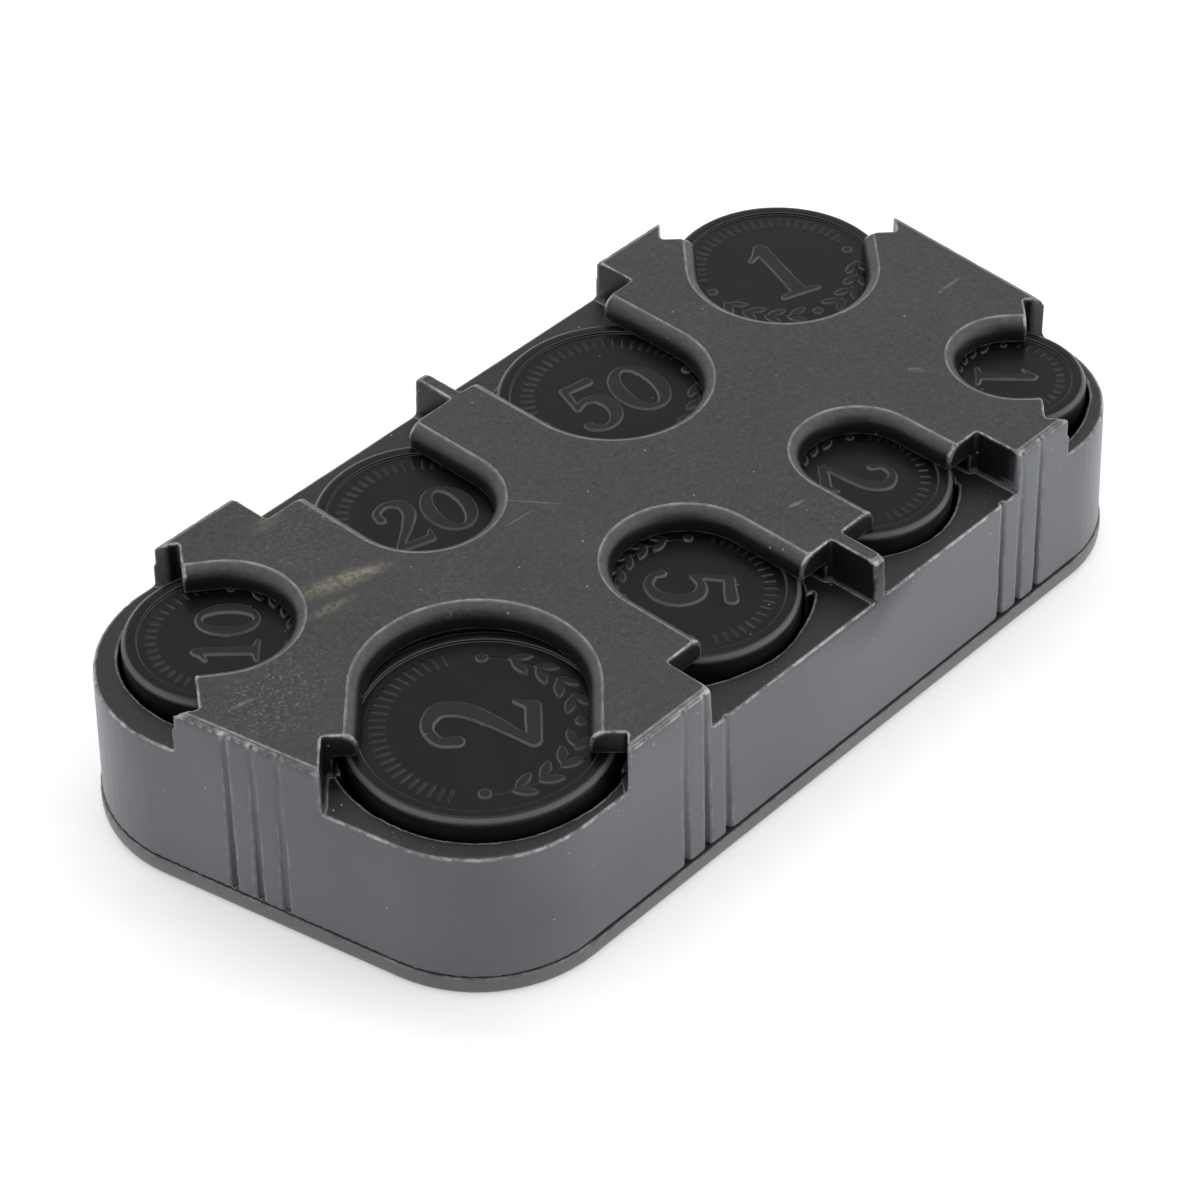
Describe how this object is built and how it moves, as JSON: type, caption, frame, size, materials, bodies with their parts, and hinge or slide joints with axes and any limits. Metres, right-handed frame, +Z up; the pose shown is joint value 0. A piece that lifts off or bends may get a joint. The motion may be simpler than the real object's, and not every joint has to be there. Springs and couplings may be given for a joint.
{
  "type": "coin holder",
  "caption": "Pocket coin holder: a flat rounded housing with round wells, each with a spring-loaded pusher that presses a stack of coins against slotted lips.",
  "frame": {"origin": "middle of the bounding box at the resting face of the base plate", "axes": "+X along the holder to its far end, by the coin wells of 16 and 23 mm; +Y to the left, longer side; +Z up, out of the wells"},
  "size_m": [0.1056, 0.054, 0.0212],
  "materials": {
    "shell_plastic": "fine moulded texture, satin",
    "base_plastic": "fine moulded texture, satin",
    "pusher_plastic": "smooth, slightly satin",
    "spring_wire": "drawn wire"
  },
  "bodies": {
    "holder": {"top_shell": "shell_plastic", "base_plate": "base_plastic", "spring_10": "spring_wire", "spring_20": "spring_wire", "spring_50": "spring_wire", "spring_main_1": "spring_wire", "spring_main_2": "spring_wire", "spring_5": "spring_wire", "spring_2": "spring_wire", "spring_1": "spring_wire"},
    "lift_10": {"pusher_10": "pusher_plastic"},
    "lift_20": {"pusher_20": "pusher_plastic"},
    "lift_50": {"pusher_50": "pusher_plastic"},
    "lift_main_1": {"pusher_main_1": "pusher_plastic"},
    "lift_main_2": {"pusher_main_2": "pusher_plastic"},
    "lift_5": {"pusher_5": "pusher_plastic"},
    "lift_2": {"pusher_2": "pusher_plastic"},
    "lift_1": {"pusher_1": "pusher_plastic"}
  },
  "joints": [
    {"name": "slide_10", "type": "slide", "parent": "holder", "child": "lift_10", "axis": [0, 0, -1], "range_m": [0, 0.0123], "stiffness_N_per_m": 120, "springref_m": -0.004, "deforming": ["spring_10"]},
    {"name": "slide_20", "type": "slide", "parent": "holder", "child": "lift_20", "axis": [0, 0, -1], "range_m": [0, 0.0123], "stiffness_N_per_m": 120, "springref_m": -0.004, "deforming": ["spring_20"]},
    {"name": "slide_50", "type": "slide", "parent": "holder", "child": "lift_50", "axis": [0, 0, -1], "range_m": [0, 0.0123], "stiffness_N_per_m": 120, "springref_m": -0.004, "deforming": ["spring_50"]},
    {"name": "slide_main_1", "type": "slide", "parent": "holder", "child": "lift_main_1", "axis": [0, 0, -1], "range_m": [0, 0.0123], "stiffness_N_per_m": 120, "springref_m": -0.004, "deforming": ["spring_main_1"]},
    {"name": "slide_main_2", "type": "slide", "parent": "holder", "child": "lift_main_2", "axis": [0, 0, -1], "range_m": [0, 0.0123], "stiffness_N_per_m": 120, "springref_m": -0.004, "deforming": ["spring_main_2"]},
    {"name": "slide_5", "type": "slide", "parent": "holder", "child": "lift_5", "axis": [0, 0, -1], "range_m": [0, 0.0123], "stiffness_N_per_m": 120, "springref_m": -0.004, "deforming": ["spring_5"]},
    {"name": "slide_2", "type": "slide", "parent": "holder", "child": "lift_2", "axis": [0, 0, -1], "range_m": [0, 0.0123], "stiffness_N_per_m": 120, "springref_m": -0.004, "deforming": ["spring_2"]},
    {"name": "slide_1", "type": "slide", "parent": "holder", "child": "lift_1", "axis": [0, 0, -1], "range_m": [0, 0.0123], "stiffness_N_per_m": 120, "springref_m": -0.004, "deforming": ["spring_1"]}
  ]
}
